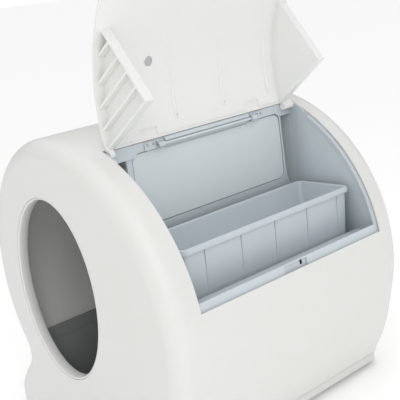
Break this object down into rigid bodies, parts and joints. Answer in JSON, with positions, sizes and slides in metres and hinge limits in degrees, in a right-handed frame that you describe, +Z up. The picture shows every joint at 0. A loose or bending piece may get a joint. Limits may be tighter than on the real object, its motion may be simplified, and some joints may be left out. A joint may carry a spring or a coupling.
{
  "type": "cat litter box with hood",
  "caption": "Drum-shaped hooded cat litter box with a tall oval entry, a pull-out style waste bin compartment under a curved hinged lid, an inner flap door and a low base",
  "frame": {"origin": "on the floor, under the middle of the bounding box", "axes": "+Z up, -Y is the entry side, +X is the side with the waste compartment"},
  "size_m": [0.4369, 0.4714, 0.6817],
  "materials": {
    "base_white": "satin",
    "hood_white": "satin",
    "collar_white": "satin",
    "lid_white": "satin",
    "liner_grey": "satin",
    "door_grey": "satin",
    "bin_grey": "satin",
    "leaf_grey": "satin",
    "rod_grey": "satin",
    "tray_grey": "matte",
    "latch_dark": "matte",
    "rubber": "matte",
    "steel": "brushed",
    "magnet_grey": "satin"
  },
  "bodies": {
    "base": {"base_tub": "base_white", "foot_front_left": "rubber", "foot_front_right": "rubber", "foot_rear_left": "rubber", "foot_rear_right": "rubber", "litter_tray": "tray_grey"},
    "hood": {"hood_shell": "hood_white", "entry_collar": "collar_white", "compartment_liner": "liner_grey", "latch_plate": "latch_dark", "hinge_moulding": "liner_grey", "door_rod": "rod_grey", "waste_bin": "bin_grey", "hinge_leaf_left": "leaf_grey", "hinge_leaf_right": "leaf_grey", "leaf_screw_1": "steel", "leaf_screw_2": "steel", "leaf_screw_3": "steel", "leaf_screw_4": "steel"},
    "inner_door": {"inner_door": "door_grey"},
    "lid": {"lid_shell": "lid_white", "lid_magnet": "magnet_grey", "lid_latch_hook": "lid_white", "lid_pin_front": "steel", "lid_pin_rear": "steel"}
  },
  "joints": [
    {"name": "hood_lift", "type": "slide", "parent": "base", "child": "hood", "axis": [0, 0, 1], "range_m": [0, 0.12]},
    {"name": "door_flap", "type": "hinge", "parent": "hood", "child": "inner_door", "pos_m": [0.0599, 0, 0.4377], "axis": [0, -1, 0], "range_deg": [0, 50], "stiffness_Nm_per_rad": 0.06, "springref_deg": -20.05},
    {"name": "lid_hinge", "type": "hinge", "parent": "hood", "child": "lid", "pos_m": [0.0623, 0, 0.4426], "axis": [0, 1, 0], "range_deg": [0, 127.5]}
  ]
}
